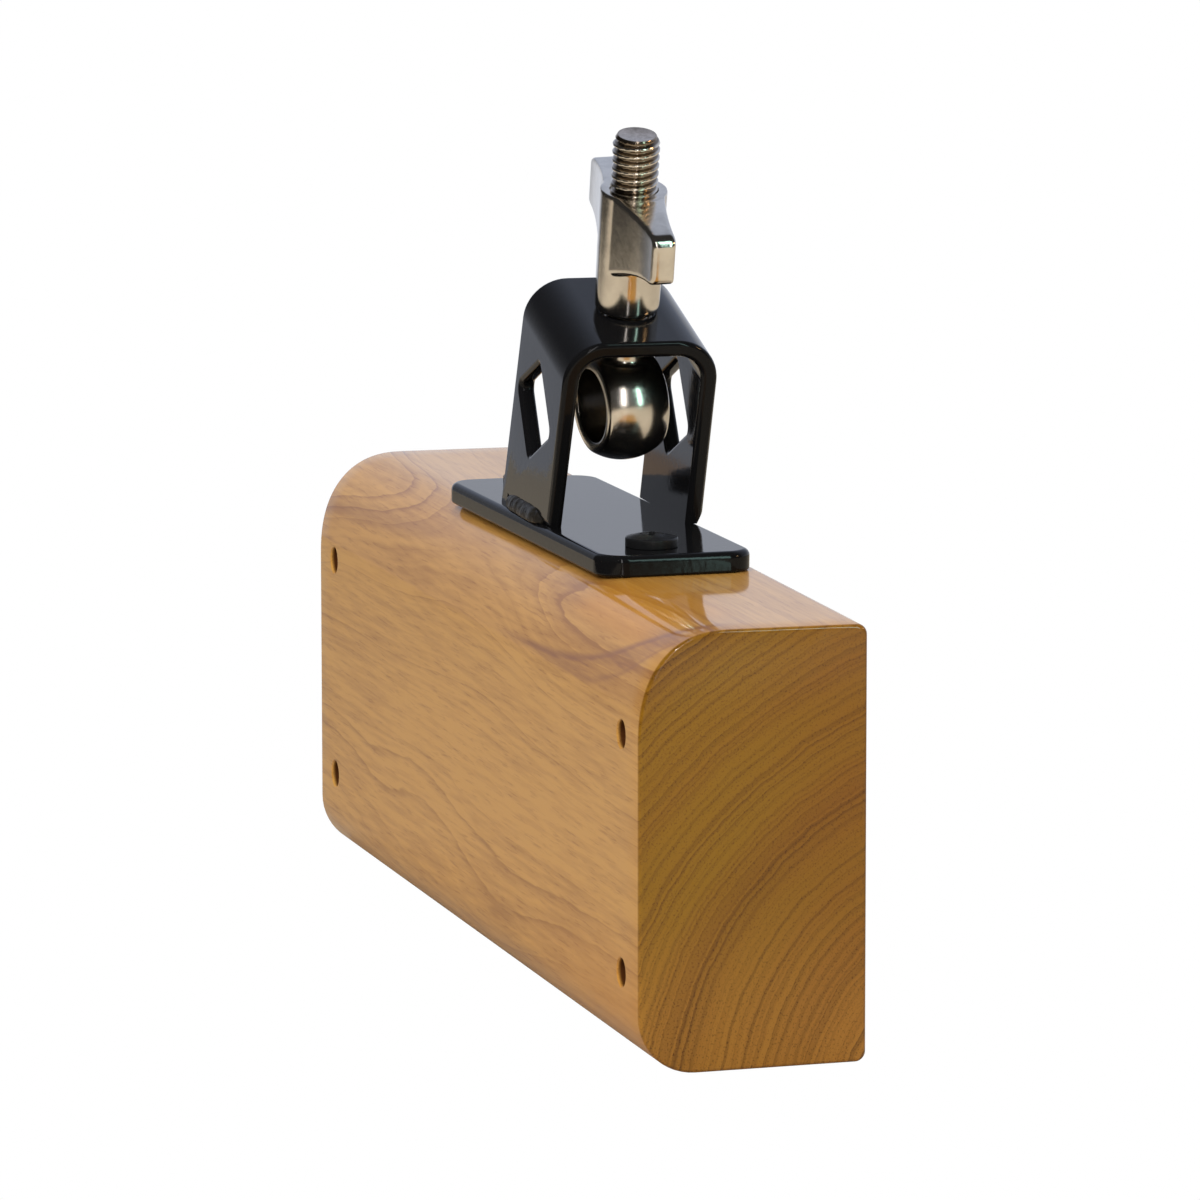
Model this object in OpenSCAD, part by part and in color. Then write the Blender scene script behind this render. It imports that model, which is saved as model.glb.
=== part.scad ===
// Woodblock with a tilted steel clamp bracket
//
// A hollowed hardwood block with a rod clamp on its top edge. The bracket is a
// bent steel strap, welded to a base plate that two wood screws hold down. A
// ball-headed eye bolt hangs in the strap and a wing nut draws it up, so that a
// stand rod through the square holes is gripped between the eye and the strap.
//
// Frame: millimetres, Z up, X along the block towards its near end, Y across
// it, and the playing face, which has the four drilled holes, looks to minus Y.

/* [Body] */
// Length of the block
body_length = 194; // [150:0.5:240]
// Thickness of the block across the playing face
body_thickness = 38.2; // [30:0.1:50]
// Height of the block at its crown
body_height = 71.6; // [55:0.1:90]
// How far the shoulder above the playing face reaches across
shoulder_width = 14.9; // [8:0.1:18]
// How far that shoulder reaches down
shoulder_drop = 18; // [8:0.1:26]
// Fullness of the shoulder curve, where 2 is an ellipse
shoulder_fullness = 2.35; // [2:0.05:3]
// Steps along the shoulder curve
shoulder_steps = 20; // [8:1:40]
// Radius of the lower edge of the playing face
lower_edge_radius = 9.6; // [3:0.1:14]
// Radius of the two edges of the back face
back_edge_radius = 1.7; // [0.5:0.1:5]
// Fall of the top face towards the back, in degrees
top_slope = 0.6; // [0:0.1:3]

/* [Sound slot] */
// Wood left between the slot and the playing face
lip_thickness = 9; // [6:0.1:14]
// Width of the slot
slot_width = 6.5; // [4:0.1:10]
// Depth of the slot from the lower edge
slot_depth = 45; // [25:0.5:50]
// Solid wood left at each end of the slot
slot_end_wood = 19; // [12:0.5:40]

/* [Corner holes] */
// Diameter of the four drilled holes
corner_hole_diameter = 4.6; // [3:0.1:8]
// Distance of the holes from the ends
corner_hole_inset = 9.6; // [6:0.1:14]
// Height of the lower pair
corner_hole_low = 15.1; // [10:0.1:25]
// Height of the upper pair
corner_hole_high = 53.9; // [40:0.1:60]
// Depth of the holes
corner_hole_depth = 15; // [8:0.5:25]

/* [Base plate] */
// Length of the plate
plate_length = 86.4; // [60:0.1:120]
// Width of the plate
plate_width = 27; // [20:0.1:36]
// Thickness of the plate
plate_thickness = 3.6; // [2:0.1:5]
// Corner radius of the plate
plate_corner_radius = 4.8; // [1:0.1:8]
// Offset of the plate along the block
plate_along = 2.5; // [-10:0.1:10]
// Offset of the plate across the block
plate_across = 2.7; // [-4:0.1:5]
// Turn of the plate on the block, in degrees
plate_turn = 1.5; // [-3:0.5:3]
// Distance of each screw from the middle of the plate
screw_spacing_half = 34.2; // [28:0.1:40]
// Offset of the screws across the plate
screw_offset = -1.9; // [-4:0.1:4]

/* [Wood screws] */
// Diameter of the screw head
screw_head_diameter = 8.8; // [6:0.1:12]
// Height of the domed head
screw_head_height = 2.3; // [1.6:0.1:4]
// Height of the head's side under the dome
screw_head_side = 1.5; // [0.4:0.1:1.5]
// Diameter of the screw shank
screw_shank_diameter = 4; // [3:0.1:6]
// Length of the shank under the head
screw_shank_length = 19; // [10:0.5:22]
// Length of the pointed end of the shank
screw_point_length = 4; // [2:0.1:6]
// Width across the corners of the recess for the driver
screw_recess_width = 4.4; // [2:0.1:6]
// Width of one slot of the recess
screw_recess_slot = 1; // [0.5:0.1:2]
// Depth of the recess
screw_recess_depth = 1.3; // [0.5:0.1:2]

/* [Clamp bracket] */
// Width of the steel strap
strap_width = 29; // [20:0.1:36]
// Thickness of the steel strap
strap_thickness = 2.8; // [2:0.1:4]
// Outer width over the two legs
bracket_width = 26.6; // [22:0.1:34]
// Height from the plate to the top of the strap, along the tilt
bracket_height = 37.3; // [30:0.1:46]
// Outer radius of the two bends
bend_radius = 7.2; // [5:0.1:10]
// Lean of the bracket towards the near end, in degrees
bracket_tilt = 15.5; // [0:0.5:25]
// Turn of the bracket on the plate, in degrees
bracket_turn = -2; // [-5:0.5:5]
// Lean of the leg beside the playing face, whose foot stands outwards, in degrees
front_leg_lean = 2; // [-4:0.2:4]
// Lean of the other leg the same way, in degrees
back_leg_lean = 1; // [-4:0.2:4]
// Place of the bracket along the plate
bracket_along = 0.6; // [-10:0.1:10]
// Place of the bracket across the block
bracket_across = 4.7; // [-4:0.1:6]
// Width of the diamond rod holes over their sharp corners
rod_hole_width = 21.3; // [14:0.1:23]
// Height of the rod holes over their sharp corners
rod_hole_rise = 17; // [13:0.1:19]
// Offset of the rod holes along the strap's width
rod_hole_offset = -1.1; // [-3:0.1:3]
// Corner radius of the rod holes
rod_hole_corner = 1.2; // [0.2:0.1:2.5]
// Height of the middle of the rod holes above the plate, along the tilt
rod_hole_height = 18.9; // [14:0.1:24]
// Diameter of the bolt hole in the top of the strap
bolt_hole_diameter = 8.7; // [8.2:0.1:10]
// Offset of that hole across the strap
bolt_hole_offset = 0.7; // [-2:0.1:2]
// Width of the weld groove along the foot of each leg
groove_width = 0.9; // [0.4:0.1:1.5]
// Height of that groove
groove_height = 2; // [1:0.1:3]

/* [Weld beads] */
// Length of each bead
bead_length = 21; // [10:0.5:28]
// Radius of the drops of the bead beside the playing face
bead_radius = 2.1; // [1.5:0.1:3]
// Depth of their middles behind the leg's face and above the plate
bead_sink = 0.7; // [0.2:0.1:1.2]
// Radius of the drops of the bead in the other groove, where the plate ends
groove_bead_radius = 1.3; // [1.1:0.1:2]
// Ripples along each bead
bead_ripples = 9; // [4:1:14]

/* [Eye bolt] */
// Diameter of the threaded shank
bolt_diameter = 7.94; // [6:0.01:10]
// Height of the bolt end above the top of the strap
bolt_reach = 31.5; // [26:0.1:36]
// Lean of the bolt in its hole towards the playing face, in degrees
bolt_lean = 1.4; // [-2:0.1:2]
// Length of the chamfer at the bolt end
bolt_chamfer = 1.3; // [0.5:0.1:2]
// Flat diameter of the bolt end
bolt_end_diameter = 6.5; // [5:0.1:7.5]
// Distance from the top of the strap down to the middle of the eye
eye_drop = 17.1; // [15:0.1:19]
// Diameter of the ball that forms the eye
eye_diameter = 19.2; // [15:0.1:20]
// Width of the ball over its two flat sides
eye_width = 11.1; // [8:0.1:14]
// Diameter of the bore through the eye
eye_bore_diameter = 12.3; // [9:0.1:14]
// Radius of the fillet between ball and shank
eye_fillet = 1.6; // [0.5:0.1:3]
// Turn of the eye about the bolt, in degrees
eye_turn = 9.5; // [0:0.5:12]

/* [Wing nut] */
// Diameter of the hub at its lower end
hub_diameter = 10.9; // [10:0.1:13]
// Diameter of the hub at its upper end
hub_top_diameter = 11.3; // [10:0.1:14]
// Height of the hub
hub_height = 21.7; // [16:0.1:26]
// Radius of the lower rim of the hub
hub_rim_radius = 0.9; // [0.4:0.1:1.5]
// Width of the bevel round the threaded hole
hub_bevel = 0.5; // [0.2:0.1:0.8]
// Running clearance in the thread, on the radius
thread_clearance = 0.05; // [0.02:0.01:0.1]
// Half of the span over the wings
wing_reach = 19.1; // [14:0.1:22]
// Thickness that the wings reach in the middle of the hub
wing_root_thickness = 11; // [5:0.1:12]
// Thickness of a wing at its tip
wing_tip_thickness = 4; // [2.5:0.1:6]
// Height of the wing tip's upper corner
wing_tip_top = 20.1; // [16:0.1:24]
// Height of the wing tip's lower corner
wing_tip_bottom = 11.7; // [8:0.1:16]
// Height at which the lower edge leaves the hub
wing_root_bottom = 6.2; // [4:0.1:12]
// Turn of the wings about the bolt, in degrees
wing_turn = 2; // [-90:1:90]
// Radius of the wing tip corners
wing_corner_radius = 1; // [0.5:0.1:4]

/* [View] */
// Piece to draw

/* [Hidden] */
$fn = 96;
corner_fn = 32;
overrun = body_height / 70;
// Clearance of a screw in its hole, on the radius
screw_clearance = screw_shank_diameter / 80;
half_turn = 180;
right_angle = half_turn / 2;
crown_y = shoulder_width - body_thickness / 2;
// Height of the top face on the middle line of the block
top_height = body_height + crown_y * tan(top_slope);
slot_length = body_length - 2 * slot_end_wood;
slot_y = lip_thickness - body_thickness / 2 + slot_width / 2;
shank_radius = bolt_diameter / 2;
eye_radius = eye_diameter / 2;
hub_radius = hub_diameter / 2;
// Rise of the nut over the strap, on which its leaning rim rests on one side
seat_rise = hub_radius * tan(abs(bolt_lean));

wood = "BurlyWood";
black = "DimGray";
nickel = "Silver";

// Frames

// Stands children on the top face of the block
module on_top_face() {
    translate([0, 0, top_height])
        rotate([-top_slope, 0, 0])
            children();
}

// Lays children on the top face where the plate lies
module at_plate() {
    on_top_face()
        translate([plate_along, plate_across, 0])
            rotate(plate_turn)
                children();
}

// Stands children on the plate where the bracket stands, still upright
module on_plate() {
    on_top_face()
        translate([bracket_along, bracket_across, plate_thickness])
            rotate([0, 0, bracket_turn])
                children();
}

module in_bracket() {
    on_plate()
        rotate([0, bracket_tilt, 0])
            children();
}

// Puts children on the bolt's leaning axis, level with the top of the strap
module on_strap() {
    in_bracket()
        translate([0, bolt_hole_offset, bracket_height])
            rotate([bolt_lean, 0, 0])
                children();
}

// Lays an upright profile along X
module along_x(length) {
    rotate([right_angle, 0, right_angle])
        linear_extrude(height = length, center = true)
            children();
}

// Lays an upright profile along Y
module along_y(length) {
    rotate([right_angle, 0, 0])
        linear_extrude(height = length, center = true)
            children();
}

// A rectangle with round corners, in the middle of the sketch
module round_rectangle(length, width, radius) {
    square([length - 2 * radius, width], center = true);
    square([length, width - 2 * radius], center = true);
    for (x = [-1, 1], y = [-1, 1])
        translate([x * (length / 2 - radius), y * (width / 2 - radius)])
            circle(r = radius, $fn = corner_fn);
}

// Points of a round corner from one angle to another
function corner_arc(middle, start, end, radius) = [
    for (i = [0 : corner_fn / 4])
        let (turn = start + (end - start) * i / (corner_fn / 4))
            middle + radius * [cos(turn), sin(turn)]
];

// A diamond with round corners, in the middle of the sketch
module round_diamond(width, height, radius) {
    side = norm([width, height]);
    // middles of the corner arcs
    x = width / 2 - radius * side / height;
    y = height / 2 - radius * side / width;
    // angle of the upper right side's outward direction
    facing = atan(width / height);
    polygon(concat(corner_arc([x, 0], -facing, facing, radius),
                   corner_arc([0, y], facing, half_turn - facing, radius),
                   corner_arc([-x, 0], half_turn - facing, half_turn + facing, radius),
                   corner_arc([0, -y], half_turn + facing, 2 * half_turn - facing, radius)));
}

// Wood body

// A point of the shoulder curve, a full quarter oval
function shoulder_point(turn) = [
    crown_y - shoulder_width * pow(sin(turn), 2 / shoulder_fullness),
    body_height - shoulder_drop * (1 - pow(cos(turn), 2 / shoulder_fullness))
];

module body_profile() {
    half = body_thickness / 2;
    back_top = top_height - half * tan(top_slope);
    shoulder = [for (i = [0 : shoulder_steps]) shoulder_point(right_angle * i / shoulder_steps)];
    difference() {
        polygon(concat(shoulder, [[-half, 0], [half, 0], [half, back_top]]));
        // lower edge of the playing face
        difference() {
            translate([-half - overrun, -overrun])
                square(lower_edge_radius + overrun);
            translate([lower_edge_radius - half, lower_edge_radius])
                circle(r = lower_edge_radius);
        }
        // lower edge of the back face
        difference() {
            translate([half - back_edge_radius, -overrun])
                square(back_edge_radius + overrun);
            translate([half - back_edge_radius, back_edge_radius])
                circle(r = back_edge_radius, $fn = corner_fn);
        }
        // upper edge of the back face
        difference() {
            translate([half - back_edge_radius, back_top - back_edge_radius])
                square(back_edge_radius + overrun);
            translate([half - back_edge_radius, back_top - back_edge_radius])
                circle(r = back_edge_radius, $fn = corner_fn);
        }
    }
}

// The routed slot, with the round ends that the cutter leaves
module sound_slot() {
    translate([0, slot_y, -overrun])
        linear_extrude(height = slot_depth + overrun)
            union() {
                square([slot_length - slot_width, slot_width], center = true);
                for (x = [-1, 1])
                    translate([x * (slot_length - slot_width) / 2, 0])
                        circle(d = slot_width, $fn = corner_fn);
            }
}

module corner_holes() {
    for (x = [-1, 1], z = [corner_hole_low, corner_hole_high])
        translate([x * (body_length / 2 - corner_hole_inset), -body_thickness / 2 - overrun, z])
            rotate([-right_angle, 0, 0])
                cylinder(h = corner_hole_depth + overrun, d = corner_hole_diameter);
}

module at_screws() {
    at_plate()
        for (x = [-1, 1])
            translate([x * screw_spacing_half, screw_offset, plate_thickness])
                children();
}

// The screw's shank, grown by a clearance
module screw_shank(clearance) {
    straight = screw_shank_length - screw_point_length;
    radius = screw_shank_diameter / 2;
    translate([0, 0, -straight])
        cylinder(h = straight, r = radius + clearance, $fn = corner_fn);
    translate([0, 0, -screw_shank_length - clearance])
        cylinder(h = screw_point_length + clearance, r1 = radius / 4 + clearance,
                 r2 = radius + clearance, $fn = corner_fn);
}

module wood_body() {
    color(wood)
        difference() {
            along_x(body_length)
                body_profile();
            sound_slot();
            corner_holes();
            at_screws()
                screw_shank(screw_clearance);
        }
}

// Base plate

module base_plate() {
    color(black)
        difference() {
            at_plate()
                linear_extrude(height = plate_thickness)
                    round_rectangle(plate_length, plate_width, plate_corner_radius);
            at_screws()
                translate([0, 0, -plate_thickness - overrun])
                    cylinder(h = plate_thickness + 2 * overrun,
                             r = screw_shank_diameter / 2 + screw_clearance, $fn = corner_fn);
        }
}

// Clamp bracket

// Lean of the leg on the side of the playing face (-1) or on the other side (1)
function lean(side) = side < 0 ? front_leg_lean : back_leg_lean;

// Direction out of the face of a leg
function across(side) = side * [cos(lean(side)), -sin(lean(side))];

// Direction down a leg
function down(side) = [-sin(lean(side)), -cos(lean(side))];

// Everything under a strap of this bend radius, seen along the block
module under_strap(radius, length) {
    middle = bracket_width / 2 - bend_radius;
    level = bracket_height - bend_radius;
    for (side = [-1, 1])
        translate([side * middle, level])
            circle(r = radius);
    translate([-middle, level])
        square([2 * middle, radius]);
    polygon([[-middle, level],
             [-middle, level] + radius * across(-1),
             [-middle, level] + radius * across(-1) + length * down(-1),
             [middle, level] + radius * across(1) + length * down(1),
             [middle, level] + radius * across(1),
             [middle, level]]);
}

module strap_profile() {
    length = bracket_height - bend_radius + strap_width / 2;
    difference() {
        under_strap(bend_radius, length);
        under_strap(bend_radius - strap_thickness, length + overrun);
    }
}

// Where the outer face of a leg meets the plate
function foot(side) = side * (bracket_width / 2 - bend_radius + bend_radius / cos(lean(side)))
    - (bracket_height * cos(bracket_tilt) - bend_radius) * tan(lean(side));

// The bevel ground along the foot of a leg for the weld
module weld_groove(side) {
    along_x(2 * strap_width)
        polygon([[foot(side) - side * groove_width, 0],
                 [foot(side) + side * overrun, 0],
                 [foot(side) + side * overrun, groove_height * (1 + overrun / groove_width)]]);
}

module clamp_bracket() {
    color(black)
        difference() {
            in_bracket()
                difference() {
                    along_x(strap_width)
                        strap_profile();
                    translate([rod_hole_offset, 0, rod_hole_height])
                        along_y(2 * bracket_width)
                            round_diamond(rod_hole_width, rod_hole_rise, rod_hole_corner);
                    translate([0, bolt_hole_offset, bracket_height - strap_thickness - overrun])
                        cylinder(h = strap_thickness + 2 * overrun, d = bolt_hole_diameter);
                }
            // the feet end on the plate
            on_plate()
                translate([0, 0, -strap_width])
                    cube([4 * strap_width, 2 * bracket_width, 2 * strap_width], center = true);
            on_plate()
                for (side = [-1, 1])
                    weld_groove(side);
        }
}

// Weld beads

// One bead, laid as overlapping drops that fill the corner between plate and leg
module bead(side, radius, sink) {
    step = bead_length / bead_ripples;
    difference() {
        on_plate()
            intersection() {
                for (i = [0 : bead_ripples - 1])
                    translate([i * step + (step - bead_length) / 2,
                               foot(side) - side * sink, sink])
                        sphere(r = radius, $fn = corner_fn);
                // the side of the bead that shows, above the plate
                translate([0, foot(side) - side * groove_width + side * strap_width / 2,
                           strap_width / 2])
                    cube(strap_width, center = true);
            }
        clamp_bracket();
    }
}

module front_bead() {
    color(black)
        bead(-1, bead_radius, bead_sink);
}

module back_bead() {
    color(black)
        bead(1, groove_bead_radius, groove_width);
}

// Plate screws

module screw_head() {
    // ball that gives the dome its width and height
    rise = screw_head_height - screw_head_side;
    dome = (pow(screw_head_diameter / 2, 2) + pow(rise, 2)) / (2 * rise);
    difference() {
        intersection() {
            cylinder(h = screw_head_height, d = screw_head_diameter);
            translate([0, 0, screw_head_height - dome])
                sphere(r = dome);
        }
        for (turn = [0, right_angle])
            rotate(turn)
                translate([0, 0, screw_head_height])
                    cube([screw_recess_width, screw_recess_slot, 2 * screw_recess_depth],
                         center = true);
    }
}

module plate_screws() {
    color(black)
        at_screws() {
            screw_head();
            screw_shank(0);
        }
}

// Eye bolt

// Half profile of the shank, from inside the ball to the bevelled end
module shank_profile() {
    // where the fillet leaves the ball
    reach = eye_radius + eye_fillet;
    side = shank_radius + eye_fillet;
    rise = sqrt(reach * reach - side * side);
    difference() {
        polygon([[0, 0], [side, 0], [side, rise], [shank_radius, rise],
                 [shank_radius, eye_drop + bolt_reach - bolt_chamfer],
                 [bolt_end_diameter / 2, eye_drop + bolt_reach],
                 [0, eye_drop + bolt_reach]]);
        translate([side, rise])
            circle(r = eye_fillet);
    }
}

module eye_bolt() {
    color(nickel)
        on_strap()
            translate([0, 0, -eye_drop])
                rotate(eye_turn)
                    difference() {
                        union() {
                            intersection() {
                                sphere(r = eye_radius);
                                cube([eye_diameter, eye_width, eye_diameter], center = true);
                            }
                            intersection() {
                                rotate_extrude()
                                    shank_profile();
                                translate([0, 0, eye_drop])
                                    cube([eye_diameter, eye_width, 3 * bolt_reach], center = true);
                            }
                        }
                        rotate([right_angle, 0, 0])
                            cylinder(h = 2 * eye_width, d = eye_bore_diameter, center = true);
                    }
}

// Wing nut

// Half profile of the hub with its round rim and bevelled threaded hole
module hub_profile() {
    bore = shank_radius + thread_clearance;
    difference() {
        polygon([[bore + hub_bevel, 0], [hub_radius, 0], [hub_top_diameter / 2, hub_height],
                 [bore + hub_bevel, hub_height], [bore, hub_height - hub_bevel],
                 [bore, hub_bevel]]);
        difference() {
            translate([hub_radius - hub_rim_radius, -overrun])
                square(hub_rim_radius + overrun);
            translate([hub_radius - hub_rim_radius, hub_rim_radius])
                circle(r = hub_rim_radius, $fn = corner_fn);
        }
    }
}

// Half thickness of a wing at a share of its reach, drawn in behind the hub
function wing_half(share) = wing_tip_thickness / 2
    + (wing_root_thickness - wing_tip_thickness) / 2 * pow(1 - share, 9 / 5);

// Plan of both wings
module wing_plan() {
    steps = 10;
    near = [for (i = [-steps : steps]) [wing_reach * i / steps, wing_half(abs(i / steps))]];
    far = [for (i = [-steps : steps]) [-wing_reach * i / steps, -wing_half(abs(i / steps))]];
    polygon(concat(near, far));
}

// Height of a wing's lower edge, a quarter wave from the hub to the tip
function wing_under(share) = wing_root_bottom
    + (wing_tip_bottom - wing_root_bottom) * sin(right_angle * share);

// Height of a wing's upper edge, level at the hub and falling to the tip
function wing_over(share) = hub_height - (hub_height - wing_tip_top) * pow(share, 2);

// Side view of both wings
module wing_elevation() {
    steps = 12;
    flat_reach = wing_reach - wing_corner_radius;
    under = [for (i = [-steps : steps]) [flat_reach * i / steps, wing_under(abs(i / steps))]];
    over = [for (i = [-steps : steps]) [-flat_reach * i / steps, wing_over(abs(i / steps))]];
    polygon(concat(under, over));
    for (side = [-1, 1]) {
        for (z = [wing_tip_bottom + wing_corner_radius, wing_tip_top - wing_corner_radius])
            translate([side * flat_reach, z])
                circle(r = wing_corner_radius, $fn = corner_fn);
        translate([side * flat_reach, (wing_tip_bottom + wing_tip_top) / 2])
            square([2 * wing_corner_radius, wing_tip_top - wing_tip_bottom - 2 * wing_corner_radius],
                   center = true);
    }
}

module wing_nut() {
    color(nickel)
        on_strap()
            translate([0, 0, seat_rise])
                rotate(wing_turn) {
                    rotate_extrude()
                        hub_profile();
                    difference() {
                        intersection() {
                            linear_extrude(height = hub_height)
                                wing_plan();
                            along_y(2 * hub_diameter)
                                wing_elevation();
                        }
                        // the hub stands here
                        cylinder(h = 3 * hub_height, r = (shank_radius + hub_radius) / 2,
                                 center = true);
                    }
                }
}

// Drawing

wood_body();
base_plate();
clamp_bracket();
front_bead();
back_bead();
plate_screws();
eye_bolt();
wing_nut();
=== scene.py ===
import math

import bmesh
import bpy
import numpy as np
from mathutils import Matrix, Vector


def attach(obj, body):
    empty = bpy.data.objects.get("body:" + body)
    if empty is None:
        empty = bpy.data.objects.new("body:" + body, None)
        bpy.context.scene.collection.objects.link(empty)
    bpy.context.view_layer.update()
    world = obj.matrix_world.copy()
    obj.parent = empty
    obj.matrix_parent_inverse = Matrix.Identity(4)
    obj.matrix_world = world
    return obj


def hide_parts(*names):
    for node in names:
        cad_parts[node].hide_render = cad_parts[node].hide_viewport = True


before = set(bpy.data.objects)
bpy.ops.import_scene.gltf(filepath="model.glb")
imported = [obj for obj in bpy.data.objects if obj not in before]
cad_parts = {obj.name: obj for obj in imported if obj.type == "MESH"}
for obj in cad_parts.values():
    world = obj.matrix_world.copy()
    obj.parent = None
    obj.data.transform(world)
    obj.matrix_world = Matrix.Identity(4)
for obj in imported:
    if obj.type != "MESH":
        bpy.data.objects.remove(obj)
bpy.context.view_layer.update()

# Each piece has one dictionary, beside its code: lengths in mm, angles in degrees, colours linear.
mm = 0.001


# Frames

def turned(axis, degrees):
    return np.array(Matrix.Rotation(math.radians(degrees), 4, axis))


def moved(x, y, z):
    return np.array(Matrix.Translation((x * mm, y * mm, z * mm)))


def put(points, place):
    return points @ place[:3, :3].T + place[:3, 3]


# Mesh helpers

pole = 0.01  # a profile stops this short of its axis, so that no points fall together there


def gridFaces(rows, columns):
    # quads between rows of points that each close on themselves
    i = np.arange(rows - 1)[:, None] * columns
    j = np.arange(columns)[None, :]
    k = (j + 1) % columns
    return np.stack([i + j, i + k, i + columns + k, i + columns + j], axis=-1).reshape(-1, 4)


def loft(rings):
    # points and faces of a skin through rings (rows, columns, 3), with a flat cap at each end
    rows, columns = rings.shape[:2]
    caps = [list(range(columns))[::-1], [(rows - 1) * columns + c for c in range(columns)]]
    return rings.reshape(-1, 3), gridFaces(rows, columns).tolist() + caps


def joinedLoft(rings):
    # the same without caps, where the last ring meets the first
    rows, columns = rings.shape[:2]
    return rings.reshape(-1, 3), (gridFaces(rows + 1, columns) % (rows * columns)).tolist()


def revolve(profile, steps):
    # rings of a profile (radius, height) turned about Z: (r cos t, r sin t, z)
    t = np.linspace(0, 2 * np.pi, steps, endpoint=False)
    r, z = profile[:, 0, None], profile[:, 1, None]
    return np.stack([r * np.cos(t), r * np.sin(t), z + 0 * t], axis=-1)


def extrude(outline, axis, low, high):
    # rings of a flat outline (n, 2) pushed along an axis of the frame
    rings = np.zeros((2, len(outline), 3))
    others = [i for i in range(3) if i != axis]
    rings[:, :, others] = outline
    rings[0, :, axis], rings[1, :, axis] = low, high
    return rings


def arc(cx, cy, radius, start, end, steps):
    # points (cx + r cos a, cy + r sin a) for a from start to end, in degrees
    a = np.radians(np.linspace(start, end, steps))
    return np.stack([cx + radius * np.cos(a), cy + radius * np.sin(a)], axis=-1)


def roundBox(length, width, radius, steps):
    # outline of a rectangle with round corners, counterclockwise
    x, y = length / 2 - radius, width / 2 - radius
    return np.concatenate([arc(x, y, radius, 0, 90, steps), arc(-x, y, radius, 90, 180, steps),
                           arc(-x, -y, radius, 180, 270, steps), arc(x, -y, radius, 270, 360, steps)])


def inset(outline, depths):
    # a counterclockwise outline moved inward along its mean normals, once for each depth
    step = np.roll(outline, -1, axis=0) - outline
    step /= np.linalg.norm(step, axis=1, keepdims=True)
    normal = np.stack([-step[:, 1], step[:, 0]], axis=-1)
    mean = normal + np.roll(normal, 1, axis=0)
    mean /= np.sum(mean * normal, axis=1, keepdims=True)
    return outline + mean * depths[:, None, None]


def fallAway(share):
    # how far a quarter circle has fallen away at a share of its radius: 1 - sqrt(1 - share^2)
    return 1 - np.sqrt(np.clip(1 - share ** 2, 0, 1))


def newMesh(name, points, faces, place=None):
    # points in mm to an object in metres, with faces turned outward
    points = np.asarray(points) * mm
    if place is not None:
        points = put(points, place)
    mesh = bpy.data.meshes.new(name)
    mesh.from_pydata(points.tolist(), [], faces)
    b = bmesh.new()
    b.from_mesh(mesh)
    bmesh.ops.recalc_face_normals(b, faces=b.faces)
    b.to_mesh(mesh)
    b.free()
    piece = bpy.data.objects.new(name, mesh)
    bpy.context.scene.collection.objects.link(piece)
    return piece


def settle(piece):
    # applies the modifiers and drops them
    bpy.context.view_layer.update()
    depsgraph = bpy.context.evaluated_depsgraph_get()
    mesh = bpy.data.meshes.new_from_object(piece.evaluated_get(depsgraph))
    piece.modifiers.clear()
    old, piece.data = piece.data, mesh
    bpy.data.meshes.remove(old)
    mesh.name = piece.name


def shape(piece, cutters, kind="DIFFERENCE"):
    # cuts or joins other solids, then removes them
    for cutter in cutters:
        cut = piece.modifiers.new("cut", "BOOLEAN")
        cut.object, cut.operation, cut.solver = cutter, kind, "EXACT"
    settle(piece)
    for cutter in cutters:
        mesh = cutter.data
        bpy.data.objects.remove(cutter)
        bpy.data.meshes.remove(mesh)


def joinPoints(piece, distance=0.002):
    # joins the near-double points that a cut leaves
    b = bmesh.new()
    b.from_mesh(piece.data)
    bmesh.ops.remove_doubles(b, verts=b.verts, dist=distance * mm)
    bmesh.ops.dissolve_degenerate(b, edges=b.edges, dist=distance * mm)
    b.to_mesh(piece.data)
    b.free()


def smooth(piece, degrees):
    # smooth shading, with edges sharper than this left crisp
    b = bmesh.new()
    b.from_mesh(piece.data)
    limit = math.radians(degrees)
    for edge in b.edges:
        edge.smooth = len(edge.link_faces) == 2 and edge.calc_face_angle() < limit
    for face in b.faces:
        face.smooth = True
    b.to_mesh(piece.data)
    b.free()


def flatten(piece):
    # wide flat faces keep their own normal, and the narrow round edges carry the turn
    normals = piece.modifiers.new("normals", "WEIGHTED_NORMAL")
    normals.keep_sharp, normals.weight = True, 100
    settle(piece)


def bevel(piece, width, segments, degrees):
    # rounds every edge sharper than this
    edges = piece.modifiers.new("bevel", "BEVEL")
    edges.width, edges.segments, edges.limit_method = width * mm, segments, "ANGLE"
    edges.angle_limit = math.radians(degrees)
    edges.use_clamp_overlap = True
    edges.miter_outer = "MITER_ARC"
    settle(piece)


def dress(piece, body, nodes, material):
    piece.data.materials.clear()
    piece.data.materials.append(material)
    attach(piece, body)
    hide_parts(*nodes)


# Shader helpers

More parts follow.
